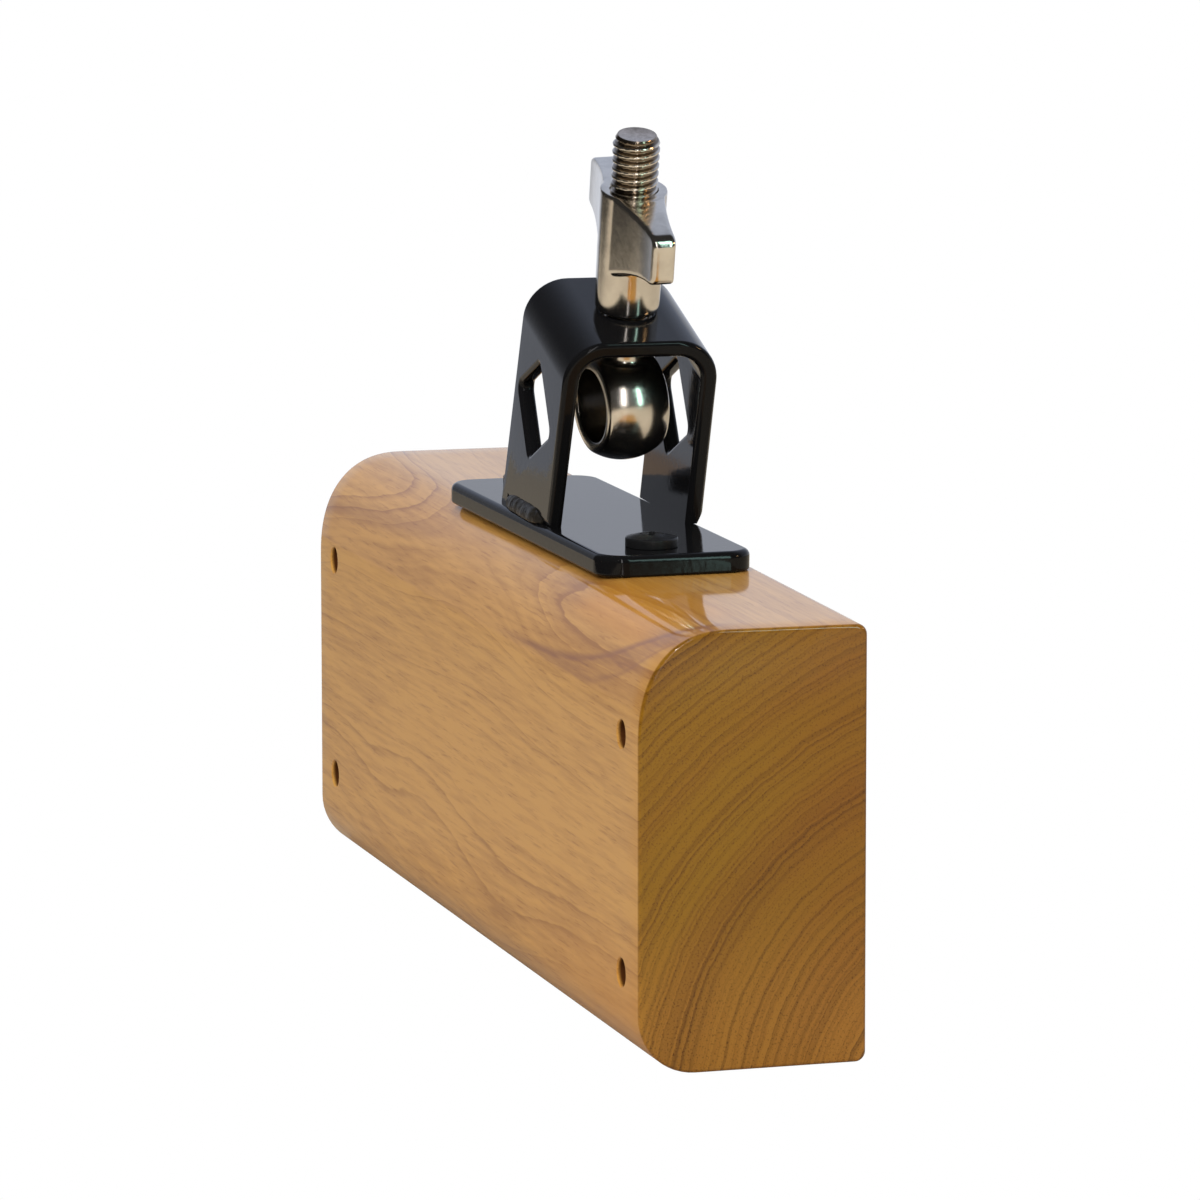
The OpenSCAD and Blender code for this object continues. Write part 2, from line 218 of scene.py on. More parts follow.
class Tree:
    # short calls for a node tree; each gives back an output socket, and node gives the node

    def __init__(self, tree):
        self.tree = tree

    def fill(self, socket, value):
        # links a socket, gives a colour its alpha, and sets anything else
        if isinstance(value, bpy.types.NodeSocket):
            self.tree.links.new(value, socket)
        elif socket.type == "RGBA":
            socket.default_value = (*value, 1)
        else:
            socket.default_value = value

    def node(self, kind, inputs=None, **settings):
        n = self.tree.nodes.new(kind)
        for key, value in settings.items():
            setattr(n, key, value)
        for key, value in (inputs or {}).items():
            self.fill(n.inputs[key], value)
        return n

    def math(self, operation, *values, clamp=False):
        return self.node("ShaderNodeMath", dict(enumerate(values)), operation=operation,
                         use_clamp=clamp).outputs[0]

    def times(self, first, *others):
        for value in others:
            first = self.math("MULTIPLY", first, value)
        return first

    def plus(self, first, second):
        return self.math("ADD", first, second)

    def minus(self, first, second):
        return self.math("SUBTRACT", first, second)

    def absolute(self, value):
        return self.math("ABSOLUTE", value)

    def distance(self, first, second):
        # sqrt(first^2 + second^2)
        return self.math("SQRT", self.plus(self.times(first, first), self.times(second, second)))

    def weighted(self, start, *terms):
        # start + the sum of weight (value - middle), kept between 0 and 1
        for value, middle, weight in terms:
            start = self.plus(start, self.times(self.minus(value, middle), weight))
        return self.math("ADD", start, 0.0, clamp=True)

    def range(self, value, start, end, low=0.0, high=1.0):
        # smooth step from low, where the value is start, to high, where it is end
        return self.node("ShaderNodeMapRange", {"Value": value, "From Min": start, "From Max": end,
                                                "To Min": low, "To Max": high},
                         interpolation_type="SMOOTHSTEP").outputs["Result"]

    def fade(self, value, start, end, low=0.0, high=1.0):
        # the same for a place, with start and end in mm
        return self.range(value, start * mm, end * mm, low, high)

    def mix(self, share, a, b):
        return self.node("ShaderNodeMix", {0: share, 6: a, 7: b}, data_type="RGBA").outputs[2]

    def noise(self, vector, scale, detail, roughness):
        # scale is one number, or three where the pattern is drawn out along an axis
        if isinstance(scale, tuple):
            vector, scale = self.place(vector, scale=scale), 1.0
        return self.node("ShaderNodeTexNoise", {"Vector": vector, "Scale": scale, "Detail": detail,
                                                "Roughness": roughness}).outputs["Fac"]

    def place(self, vector, scale=(1, 1, 1), location=(0, 0, 0), rotation=(0, 0, 0)):
        return self.node("ShaderNodeMapping", {"Vector": vector, "Scale": scale, "Location": location,
                                               "Rotation": rotation}).outputs[0]

    def within(self, vector, place):
        # the same point in the frame of a place
        back = Matrix(place.tolist()).inverted()
        return self.place(vector, location=tuple(back.to_translation()), rotation=tuple(back.to_euler()))

    def vector(self, x, y=0.0):
        return self.node("ShaderNodeCombineXYZ", {"X": x, "Y": y}).outputs[0]

    def parts(self, vector):
        return self.node("ShaderNodeSeparateXYZ", {"Vector": vector}).outputs

    def bump(self, height, distance, strength):
        # distance in mm
        return self.node("ShaderNodeBump", {"Height": height, "Distance": distance * mm,
                                            "Strength": strength}).outputs[0]


def newMaterial(name):
    material = bpy.data.materials.new(name)
    material.use_nodes = True
    tree = Tree(material.node_tree)
    shader = material.node_tree.nodes["Principled BSDF"].inputs
    where = tree.node("ShaderNodeTexCoord").outputs["Object"]
    return material, tree, shader, where


def newGroup(name, inputs, outputs):
    # an empty node group; inputs and outputs give the kind of each named socket
    group = bpy.data.node_groups.new(name, "ShaderNodeTree")
    for way, sockets in (("INPUT", inputs), ("OUTPUT", outputs)):
        for socket, kind in sockets.items():
            group.interface.new_socket(socket, in_out=way, socket_type="NodeSocket" + kind)
    tree = Tree(group)
    return group, tree, tree.node("NodeGroupInput").outputs, tree.node("NodeGroupOutput").inputs


def grainGroup():
    # fine grain of painted and blackened steel: the colour goes from Color to Light by a noise, and
    # the roughness from Smooth to Rough as the noise goes from 0.3 to 0.7
    group, t, given, made = newGroup(
        "fineGrain",
        dict(Vector="Vector", Scale="Float", Color="Color", Light="Color", Smooth="Float", Rough="Float"),
        dict(Color="Color", Roughness="Float", Height="Float"))
    grain = t.noise(given["Vector"], given["Scale"], 2.0, 0.6)
    t.fill(made["Color"], t.mix(grain, given["Color"], given["Light"]))
    t.fill(made["Roughness"], t.range(grain, 0.3, 0.7, given["Smooth"], given["Rough"]))
    t.fill(made["Height"], grain)
    return group


def platingGroup():
    # plated metal: soft clouds from Color to Dull that also lift the surface a little, and a fine
    # grain between Smooth and Rough
    group, t, given, made = newGroup(
        "plating",
        dict(Vector="Vector", Color="Color", Dull="Color", Smooth="Float", Rough="Float"),
        dict(Color="Color", Roughness="Float", Normal="Vector"))
    cloud = t.noise(given["Vector"], 220.0, 3.0, 0.6)
    fine = t.noise(given["Vector"], 2600.0, 2.0, 0.6)
    t.fill(made["Color"], t.mix(t.range(cloud, 0.35, 0.75), given["Color"], given["Dull"]))
    t.fill(made["Roughness"], t.range(fine, 0.3, 0.7, given["Smooth"], given["Rough"]))
    t.fill(made["Normal"], t.bump(cloud, 0.2, 0.08))
    return group


# Wood body

wood = dict(length=194, thickness=38.2, height=71.6, shoulderWidth=14.9, shoulderDrop=18,
            fullness=2.35, lowerRadius=9.6, backRadius=1.7, topSlope=0.6, endRound=0.7,
            lip=9, slotWidth=6.5, slotDepth=45, slotEndWood=19,
            holeDiameter=4.6, holeInset=9.6, holeLow=15.1, holeHigh=53.9, holeDepth=15, holeTip=1.2,
            holeRim=0.25,
            side=(0.525, 0.272, 0.064), sideDark=(0.30, 0.128, 0.028), streak=(0.25, 0.105, 0.042),
            # the orange-gold colour is a painted reflection on the top, and the hole colour is painted shade
            # inside the drilled holes
            lowCorner=(0.46, 0.185, 0.022), goldenReflection=(0.54, 0.220, 0.006), hole=(0.075, 0.024, 0.006),
            end=(0.230, 0.112, 0.006), endBrown=(0.228, 0.088, 0.008), endDark=(0.080, 0.028, 0.003),
            endLow=(0.37, 0.160, 0.026), pith=(45.5, -10.5), ringWidth=1.8, wander=20, waver=1.4,
            # level, rise, start and reach of the dark streak's two edges; level, start and slope of
            # the faint one
            streakTop=(59.5, 10, 0, 88), streakFoot=(58.8, 8, 40, 51), faintStreak=(62.5, -95, 0.078),
            gloss=0.07)

crownY = wood["shoulderWidth"] - wood["thickness"] / 2
topHeight = wood["height"] + crownY * math.tan(math.radians(wood["topSlope"]))
onTop = moved(0, 0, topHeight) @ turned("X", -wood["topSlope"])


def woodFigure(t, where, x, y, z):
    # field = distance from the pith + a slow wander along the trunk + a fine waver; years counts the
    # rings on it, and share is the place within one ring
    slow = t.noise(where, (7, 20, 20), 1.5, 0.5)
    fine = t.noise(where, (28, 170, 170), 3.0, 0.55)
    pithY, pithZ = wood["pith"]
    radius = t.distance(t.minus(y, pithY * mm), t.minus(z, pithZ * mm))
    away = t.fade(x, wood["length"] / 2, -20, 0.25, 1.0)  # little wander at the near end: plain arcs
    waver = t.times(t.minus(fine, 0.5), wood["waver"] * mm)
    field = t.plus(radius, t.plus(t.times(t.minus(slow, 0.5), wood["wander"] * mm, away), waver))
    years = t.math("DIVIDE", field, wood["ringWidth"] * mm)
    uneven = t.noise(t.vector(t.times(years, 0.55)), 1.0, 1.0, 0.5)
    share = t.math("FRACT", t.plus(years, t.times(uneven, 1.6)))
    late = t.times(t.math("POWER", share, 5.0), t.range(share, 1.0, 0.94))
    strong = t.noise(t.vector(t.times(field, 190.0)), 1.0, 1.0, 0.6)
    band = t.noise(t.vector(t.times(field, 85.0), t.times(x, 5.0)), 1.0, 2.0, 0.6)
    return dict(waver=waver, share=share,
                late=t.math("MULTIPLY", late, 1.5, clamp=True),
                strong=t.range(strong, 0.38, 0.68),
                band=t.range(band, 0.35, 0.7),
                hair=t.noise(t.vector(t.times(field, 1500.0)), 1.0, 2.0, 0.6),
                fibre=t.noise(where, (60, 900, 900), 3.0, 0.6),
                blotch=t.noise(where, (14, 30, 30), 2.0, 0.5),
                # short dark dashes along the grain, dots on the ends
                pores=t.range(t.noise(where, (170, 2600, 2600), 2.0, 0.55), 0.56, 0.72))


def streakMask(t, figure, x, y, z):
    # the dark streak on the shoulder lies between two curves z = level + rise ((x - start) / reach)^4,
    # and a faint one at the far end follows z = level + slope (x - start)
    height = t.plus(z, figure["waver"])

    def above(level, rise, start, reach):
        share = t.math("MAXIMUM", t.math("DIVIDE", t.minus(x, start * mm), reach * mm), 0.0)
        curve = t.times(t.math("POWER", share, 4.0), rise * mm)
        return t.minus(height, t.plus(curve, level * mm))

    top = above(*wood["streakTop"])
    low = above(*wood["streakFoot"])
    level, start, slope = wood["faintStreak"]
    faint = t.absolute(t.minus(height, t.plus(t.times(t.minus(x, start * mm), slope), level * mm)))
    topLine = t.times(t.fade(t.absolute(top), 1.0, 0), 0.8)
    lowLine = t.times(t.fade(t.absolute(low), 0.8, 0), t.fade(x, 50, 75, 0.0, 0.4))
    inside = t.times(t.fade(top, 0.3, -0.6), t.fade(low, -1.6, 1.6),
                     t.range(figure["fibre"], 0.3, 0.75, 0.25, 0.85))
    near = t.times(t.plus(t.math("MAXIMUM", topLine, lowLine), inside), t.fade(x, 4, 50),
                   t.fade(y, 0, -6, 0.0, 0.85))
    far = t.times(t.fade(faint, 2.6, 0), t.fade(x, 0, -35, 0.0, 0.33), t.fade(y, -6, -12))
    return t.math("ADD", near, far, clamp=True)


def paintedHoleShade(t, x, y, z):
    # painted shade inside the drilled holes of the playing face, by the distance from the nearest hole's
    # axis
    along = t.minus(t.absolute(x), (wood["length"] / 2 - wood["holeInset"]) * mm)
    fromLow, fromHigh = (t.absolute(t.minus(z, wood[key] * mm)) for key in ("holeLow", "holeHigh"))
    ring = t.distance(along, t.math("MINIMUM", fromLow, fromHigh))
    edge = wood["holeDiameter"] / 2 + wood["holeRim"]
    face = -wood["thickness"] / 2
    return t.times(t.fade(ring, edge + 0.07, edge - 0.07), t.fade(y, face + 0.1, face + 0.8),
                   t.fade(y, 0, -3))


def sideColour(t, figure, x, y, z):
    # from pale to dark by the grain; then browner low at the near end, a painted orange-gold reflection on
    # the top before the plate, and the streaks and the painted shade inside the holes over it
    depth = t.weighted(t.times(figure["late"], figure["strong"], 0.72),
                       (figure["hair"], 0.5, 0.9), (figure["band"], 0.0, 0.42), (figure["fibre"], 0.5, 1.5),
                       (figure["pores"], 0.0, 0.38), (figure["blotch"], 0.45, 0.55))
    colour = t.mix(depth, wood["side"], wood["sideDark"])
    low = t.times(t.fade(x, 20, wood["length"] / 2), t.fade(z, 28, 4, 0.0, 0.55))
    colour = t.mix(low, colour, wood["lowCorner"])
    # a painted orange-gold reflection on the top before the plate
    warm = t.times(t.fade(x, 40, 56), t.fade(x, 93, 78), t.fade(y, 4, -3), t.fade(z, 65.5, 69.5), 0.5)
    colour = t.mix(warm, colour, wood["goldenReflection"])
    colour = t.mix(streakMask(t, figure, x, y, z), colour, wood["streak"])
    # painted shade inside the drilled holes
    return t.mix(paintedHoleShade(t, x, y, z), colour, wood["hole"])


def endColour(t, figure, where, y, z):
    # end grain: pale wood, browner to the back and paler at the foot, darkened by late wood and pores
    dots = t.range(t.noise(where, (300, 2900, 2900), 2.0, 0.6), 0.53, 0.68)
    soft = t.times(t.math("POWER", figure["share"], 2.2), t.range(figure["share"], 1.0, 0.9))
    grime = t.weighted(t.times(soft, t.range(figure["strong"], 0.0, 1.0, 0.35, 1.0), 0.85),
                       (dots, 0.0, 0.48), (figure["hair"], 0.5, 1.5), (figure["band"], 0.4, 0.28),
                       (figure["blotch"], 0.5, 0.3))
    brown = t.weighted(t.fade(y, -6, 18, 0.0, 0.5), (figure["band"], 0.0, 0.5))
    pale = t.mix(brown, wood["end"], wood["endBrown"])
    pale = t.mix(t.fade(z, 32, 0, 0.0, 0.7), pale, wood["endLow"])
    return t.mix(grime, pale, wood["endDark"])


def woodMaterial():
    # sides and cut ends take their own colours, and the lacquer is thicker on the top
    material, t, shader, where = newMaterial("lacqueredWood")
    x, y, z = t.parts(where)
    figure = woodFigure(t, where, x, y, z)
    cut = t.fade(t.absolute(x), wood["length"] / 2 - 0.9, wood["length"] / 2 - 0.25)
    colour = t.mix(cut, sideColour(t, figure, x, y, z), endColour(t, figure, where, y, z))
    t.fill(shader["Base Color"], colour)
    t.fill(shader["Normal"], t.bump(t.plus(figure["fibre"], figure["pores"]), 0.04, 0.25))
    t.fill(shader["Roughness"], 0.5)
    t.fill(shader["Specular IOR Level"], 0.15)
    t.fill(shader["Coat Weight"], t.fade(z, 56, 68, 0.5, 0.85))
    t.fill(shader["Coat Roughness"], wood["gloss"])
    return material


def bodyProfile(steps=28, cornerSteps=7):
    # outline (y, z) of the block, counterclockwise seen from the near end; the shoulder runs
    # y = crown - w sin(a)^(2/n), z = h - d (1 - cos(a)^(2/n)), as in the source
    half = wood["thickness"] / 2
    power = 2 / wood["fullness"]
    slope = math.tan(math.radians(wood["topSlope"]))
    backTop = topHeight - half * slope
    shoulderFoot = wood["height"] - wood["shoulderDrop"]
    # even steps in the power, so that points don't bunch up
    a = np.radians(np.linspace(0, 90, steps))
    shoulder = np.stack([crownY - wood["shoulderWidth"] * np.sin(a) ** power,
                         wood["height"] - wood["shoulderDrop"] * (1 - np.cos(a) ** power)], axis=-1)
    low, back = wood["lowerRadius"], wood["backRadius"]
    face = np.stack([np.full(10, -half), np.linspace(shoulderFoot, low, 12)[1:-1]], axis=-1)
    lower = arc(low - half, low, low, 180, 270, 2 * cornerSteps)
    foot = arc(half - back, back, back, 270, 360, cornerSteps)
    head = arc(half - back, backTop - back, back, 0, 90, cornerSteps)
    top = np.stack([np.linspace(half - back, crownY, 8)[1:-1]] * 2, axis=-1)
    top[:, 1] = topHeight - top[:, 0] * slope
    return np.concatenate([shoulder, face, lower, foot, head, top])


def makeWood():
    # the outline carried along X; at the ends x = L/2 - r (1 - sin a), inset by r (1 - cos a)
    outline = bodyProfile()
    r = wood["endRound"]
    a = np.radians(np.linspace(0, 90, 7))
    end = wood["length"] / 2 - r + r * np.sin(a)
    drawn = r * (1 - np.cos(a))
    middle = np.linspace(-wood["length"] / 2 + r, wood["length"] / 2 - r, 34)[1:-1]
    x = np.concatenate([-end[::-1], middle, end])
    rings = np.zeros((len(x), len(outline), 3))
    rings[:, :, 0] = x[:, None]
    rings[:, :, 1:] = inset(outline, np.concatenate([drawn[::-1], 0 * middle, drawn]))
    body = newMesh("woodBlock", *loft(rings))

    over = 3  # how far the cutters run on past the wood
    radius, rim, depth = wood["holeDiameter"] / 2, wood["holeRim"], wood["holeDepth"]
    hole = np.array([[pole, -depth - wood["holeTip"]], [radius, -depth], [radius, -rim],
                     [radius + rim, 0], [radius + rim + over * 0.05, over], [pole, over]])
    cutters = []
    for side in (-1, 1):
        for z in (wood["holeLow"], wood["holeHigh"]):
            place = moved(side * (wood["length"] / 2 - wood["holeInset"]), -wood["thickness"] / 2, z)
            cutters.append(newMesh("drill", *loft(revolve(hole, steps=40)), place @ turned("X", 90)))
    slot = roundBox(wood["length"] - 2 * wood["slotEndWood"], wood["slotWidth"],
                    wood["slotWidth"] / 2 - 0.001, steps=12)
    slot[:, 1] += wood["lip"] - wood["thickness"] / 2 + wood["slotWidth"] / 2
    cutters.append(newMesh("router", *loft(extrude(slot, 2, -over, wood["slotDepth"]))))
    shank = screw["shank"] / 2 + screw["clearance"]
    pilot = np.array([[pole, -screw["length"] - screw["clearance"]],
                      [shank, -screw["length"] + screw["point"]], [shank, 1], [pole, 1]])
    for end in (-1, 1):
        cutters.append(newMesh("pilot", *loft(revolve(pilot, steps=24)), atScrew(end)))
    shape(body, cutters)
    smooth(body, 28)
    dress(body, "block", ["wood_body"], woodLook)


# Base plate, and the black paint that the strap shares

plate = dict(length=86.4, width=27, thickness=3.6, corner=4.8, along=2.5, across=2.7, turn=1.5,
             edgeRound=1.15, screwHalf=34.2, screwOffset=-1.9, farScrewOffset=-1.1)
paint = dict(colour=(0.004, 0.004, 0.0045), roughness=0.08)

atPlate = onTop @ moved(plate["along"], plate["across"], 0) @ turned("Z", plate["turn"])


def atScrew(end):
    # on top of the plate, at its near end (1) or far end (-1)
    offset = plate["screwOffset"] if end > 0 else plate["farScrewOffset"]
    return atPlate @ moved(end * plate["screwHalf"], offset, plate["thickness"])


def paintMaterial():
    # gloss paint with a faint orange peel
    material, t, shader, where = newMaterial("blackPaint")
    grain = t.node("ShaderNodeGroup", {
        "Vector": where, "Scale": 4000.0, "Color": paint["colour"],
        "Light": tuple(c * 1.6 for c in paint["colour"]),
        "Smooth": 0.8 * paint["roughness"], "Rough": 1.3 * paint["roughness"]}, node_tree=fineGrain)
    t.fill(shader["Base Color"], grain.outputs["Color"])
    t.fill(shader["Roughness"], grain.outputs["Roughness"])
    t.fill(shader["Normal"], t.bump(t.noise(where, 900.0, 2.0, 0.5), 0.03, 0.3))
    t.fill(shader["Specular IOR Level"], 0.15)
    return material


def makePlate():
    # a round-cornered outline carried upward; rounded edges z = r (1 - cos a), inset = r (1 - sin a),
    # with half that radius at the foot
    r = plate["edgeRound"]
    a = np.radians(np.linspace(0, 90, 6))
    byCos, bySin = r * (1 - np.cos(a)), r * (1 - np.sin(a))
    z = np.concatenate([0.5 * byCos, plate["thickness"] - bySin])
    outline = roundBox(plate["length"], plate["width"], plate["corner"], steps=11)
    rings = np.zeros((len(z), len(outline), 3))
    rings[:, :, :2] = inset(outline, np.concatenate([0.5 * bySin, byCos]))
    rings[:, :, 2] = z[:, None]
    piece = newMesh("basePlate", *loft(rings), atPlate)
    radius = screw["shank"] / 2 + screw["clearance"]
    bore = np.array([[radius, -1], [radius, plate["thickness"] + 1]])
    places = [atScrew(end) @ moved(0, 0, -plate["thickness"]) for end in (-1, 1)]
    shape(piece, [newMesh("bore", *loft(revolve(bore, steps=32)), place) for place in places])
    smooth(piece, 30)
    flatten(piece)
    dress(piece, "block", ["base_plate"], paintLook)


# Clamp bracket

strap = dict(width=29, thickness=2.8, span=26.6, height=37.3, bend=7.2, tilt=15.5, turn=-2,
             frontLean=2, backLean=1, along=0.6, across=4.7, holeWidth=21.3, holeRise=17,
             holeOffset=-1.1, holeCorner=1.2, holeHeight=18.9, boltHole=8.7, boltOffset=0.7,
             edgeRound=0.9, grooveWidth=0.9, grooveHeight=2)

onPlate = onTop @ moved(strap["along"], strap["across"], plate["thickness"]) @ turned("Z", strap["turn"])
inStrap = onPlate @ turned("Y", strap["tilt"])


def strapOutline():
    # closed outline (y, z) of the bent strap: outer and inner arcs at the two bends, with straight
    # legs that run on below the plate
    middle, level = strap["span"] / 2 - strap["bend"], strap["height"] - strap["bend"]
    length = level + strap["width"] / 2
    front, back = (length * np.array([-math.sin(a), -math.cos(a)])
                   for a in map(math.radians, (strap["frontLean"], strap["backLean"])))

    def side(radius):
        right = arc(middle, level, radius, -strap["backLean"], 90, 14)
        left = arc(-middle, level, radius, 90, 180 - strap["frontLean"], 14)
        return np.concatenate([right[:1] + back, right, left, left[-1:] + front])

    return np.concatenate([side(strap["bend"]), side(strap["bend"] - strap["thickness"])[::-1]])


def foot(side):
    # where the outer face of a leg meets the plate, as in the source
    lean = math.radians(strap["frontLean"] if side < 0 else strap["backLean"])
    drop = strap["height"] * math.cos(math.radians(strap["tilt"])) - strap["bend"]
    return (side * (strap["span"] / 2 - strap["bend"] + strap["bend"] / math.cos(lean))
            - drop * math.tan(lean))


def rodHole():
    # outline (x, z) of a diamond with an arc at each of its four corners
    w, h, r = strap["holeWidth"], strap["holeRise"], strap["holeCorner"]
    x, z = w / 2 - r * math.hypot(w, h) / h, h / 2 - r * math.hypot(w, h) / w
    turn = math.degrees(math.atan(w / h))
    diamond = np.concatenate([arc(x, 0, r, -turn, turn, 9), arc(0, z, r, turn, 180 - turn, 9),
                              arc(-x, 0, r, 180 - turn, 180 + turn, 9),
                              arc(0, -z, r, 180 + turn, 360 - turn, 9)])
    return diamond + (strap["holeOffset"], strap["holeHeight"])


def makeStrap():
    # the outline pushed across the strap's width, then cut and rounded
    half, top = strap["width"] / 2, strap["height"]
    piece = newMesh("clampBracket", *loft(extrude(strapOutline(), 0, -half, half)), inStrap)
    radius = strap["boltHole"] / 2
    boltHole = np.array([[radius, top - strap["thickness"] - 1], [radius, top + 1]])
    shape(piece, [newMesh("rodCut", *loft(extrude(rodHole(), 1, -strap["span"], strap["span"])), inStrap),
                  newMesh("boltCut", *loft(revolve(boltHole, steps=64)),
                          inStrap @ moved(0, strap["boltOffset"], 0))])
    bevel(piece, strap["edgeRound"], segments=4, degrees=30)
    # the feet are cut after the edges are rounded, so that they stand flat on the plate
    big = 2 * strap["width"]
    cutters = [newMesh("floorCut", *loft(extrude(roundBox(big * 2, big, 1, steps=2), 2, -big, 0)), onPlate)]
    w, h = strap["grooveWidth"], strap["grooveHeight"]
    for side in (-1, 1):
        y = foot(side)
        wedge = np.array([[y - side * w, -0.01], [y + side * w, -0.01], [y + side * w, 2 * h]])
        start = -big if side > 0 else -weld["length"] / 2  # the front groove is filled at its far end
        cutters.append(newMesh("groove", *loft(extrude(wedge, 0, start, big)), onPlate))
    shape(piece, cutters)
    smooth(piece, 40)
    flatten(piece)
    dress(piece, "block", ["clamp_bracket"], paintLook)


# Weld beads

weld = dict(length=21, radius=2.0, sink=0.7, backRadius=1.25, ripples=9, swell=0.93, ripple=0.004,
            waver=0.014, light=(0.02, 0.017, 0.013))


def weldMaterial():
    # the weld runs unevenly under the paint, so its gloss is broken up
    material, t, shader, where = newMaterial("weldPaint")
    lumps = t.noise(where, 700.0, 3.0, 0.6)
    t.fill(shader["Normal"], t.bump(lumps, 0.6, 0.9))
    t.fill(shader["Specular IOR Level"], 0.3)
    t.fill(shader["Base Color"], t.mix(lumps, paint["colour"], weld["light"]))
    t.fill(shader["Roughness"], t.range(lumps, 0.3, 0.7, 0.35, 0.6))
    return material


def makeBead(name, node, side, radius, sink, seed):
    # a bead along the foot: centre line x from -L/2 to L/2, and u = 2x/L; its radius is
    # r (swell + ripple sin(pi n u) + waver) sqrt(1 - u^6), so that it closes at its ends; its lower
    # side is cut off flat just above the plate
    u = np.sin(np.linspace(-np.pi / 2, np.pi / 2, 120))
    x = u * weld["length"] / 2
    random = np.random.default_rng(seed)
    phase = random.uniform(0, 2 * np.pi, 4)
    waver = sum(weld["waver"] * np.sin(2 * np.pi * (k + 1.5) * u + p) for k, p in enumerate(phase))
    swell = weld["swell"] + weld["ripple"] * np.sin(np.pi * weld["ripples"] * u) + waver
    r = radius * swell * np.sqrt(np.clip(1 - u ** 6, 0.0004, 1))
    t = np.linspace(0, 2 * np.pi, 28, endpoint=False)
    rings = np.stack([x[:, None] + 0 * t,
                      foot(side) - side * sink + side * r[:, None] * np.cos(t),
                      np.maximum(sink + r[:, None] * np.sin(t), 0.02)], axis=-1)
    piece = newMesh(name, *loft(rings), onPlate)
    smooth(piece, 60)
    dress(piece, "block", [node], weldLook)


# Plate screws

screw = dict(diameter=8.8, side=1.5, height=2.3, shank=4, length=19, point=4, clearance=0.05,
             recessWidth=4.4, recessSlot=1.0, recessDepth=1.3, rimRound=0.35, footRound=0.15, turns=(20, 70))
steel = dict(colour=(0.006, 0.006, 0.0065), roughness=0.38)


def steelMaterial():
    # black oxide, dull
    material, t, shader, where = newMaterial("blackSteel")
    grain = t.node("ShaderNodeGroup", {
        "Vector": where, "Scale": 3000.0, "Color": steel["colour"],
        "Light": tuple(c * 1.8 for c in steel["colour"]),
        "Smooth": 0.8 * steel["roughness"], "Rough": 1.2 * steel["roughness"]}, node_tree=fineGrain)
    t.fill(shader["Base Color"], grain.outputs["Color"])
    t.fill(shader["Roughness"], grain.outputs["Roughness"])
    t.fill(shader["Normal"], t.bump(grain.outputs["Height"], 0.02, 0.3))
    t.fill(shader["Specular IOR Level"], 0.2)
    return material


def makeScrews():
    # pan heads turned from a profile: side s high, dome to h, rim rounded; a shank with a plain core
    r, rim, low = screw["diameter"] / 2, screw["rimRound"], screw["footRound"]
    rise = screw["height"] - screw["side"]
    dome = (r * r + rise * rise) / (2 * rise)
    reach = math.degrees(math.asin((r - rim) / dome))
    head = np.concatenate([[[pole, 0]], arc(r - low, low, low, -90, 0, 4),
                           arc(r - rim, screw["side"] - 0.2, rim, 0, 62, 6),
                           arc(0, screw["height"] - dome, dome, 90 - reach * 0.97, 89.99, 12)])
    radius, length = screw["shank"] / 2, screw["length"]
    shank = np.array([[pole, -length], [radius / 4, -length], [radius, -length + screw["point"]],
                      [radius, 0.2], [pole, 0.2]])
    w, d = screw["recessWidth"] / 2, screw["recessSlot"] / 2
    arm = np.array([[-w, -d], [w, -d], [w, d], [-w, d]])
    recess = np.zeros((2, 4, 3))
    recess[0, :, :2], recess[0, :, 2] = arm * 0.45, screw["height"] - screw["recessDepth"]
    recess[1, :, :2], recess[1, :, 2] = arm * 1.15, screw["height"] + 0.4
    pair = []
    for end, turn in zip((-1, 1), screw["turns"]):
        place = atScrew(end) @ turned("Z", turn)
        piece = newMesh("plateScrews", *loft(revolve(head, steps=64)), place)
        shape(piece, [newMesh("recess", *loft(recess), place @ turned("Z", a)) for a in (0, 90)])
        shape(piece, [newMesh("shank", *loft(revolve(shank, steps=32)), place)], "UNION")
        pair.append(piece)
    shape(pair[0], [pair[1]], "UNION")
    joinPoints(pair[0])
    smooth(pair[0], 32)
    dress(pair[0], "block", ["plate_screws"], steelLook)


# Eye bolt, and the nickel that the nut shares

bolt = dict(diameter=7.94, pitch=1.411, depth=0.72, reach=31.5, chamfer=1.3, end=6.5, lean=1.4,
            eyeDrop=17.1, eye=19.2, eyeWidth=11.1, bore=12.3, boreRound=0.4, fillet=1.6, eyeTurn=9.5,
            # the colours for the thread's roots and the bore are painted shade
            rim=0.35, rootShade=(0.16, 0.115, 0.070), boreShade=(0.10, 0.09, 0.075),
            endColour=(0.62, 0.53, 0.45))
nickel = dict(colour=(0.80, 0.75, 0.67), roughness=0.15, ballRoughness=0.20)

onStrap = inStrap @ moved(0, strap["boltOffset"], strap["height"]) @ turned("X", bolt["lean"])
inEye = onStrap @ moved(0, 0, -bolt["eyeDrop"]) @ turned("Z", bolt["eyeTurn"])


def nickelMaterial(name, roughness):
    # what the bolt and the nut share; metal gives the colour and roughness of the plating
    material, t, shader, where = newMaterial(name)
    metal = t.node("ShaderNodeGroup", {
        "Vector": where, "Color": nickel["colour"], "Dull": tuple(0.82 * c for c in nickel["colour"]),
        "Smooth": 0.9 * roughness, "Rough": 1.15 * roughness}, node_tree=plating).outputs
    t.fill(shader["Metallic"], 1.0)
    t.fill(shader["Normal"], metal["Normal"])
    return material, t, shader, where, metal


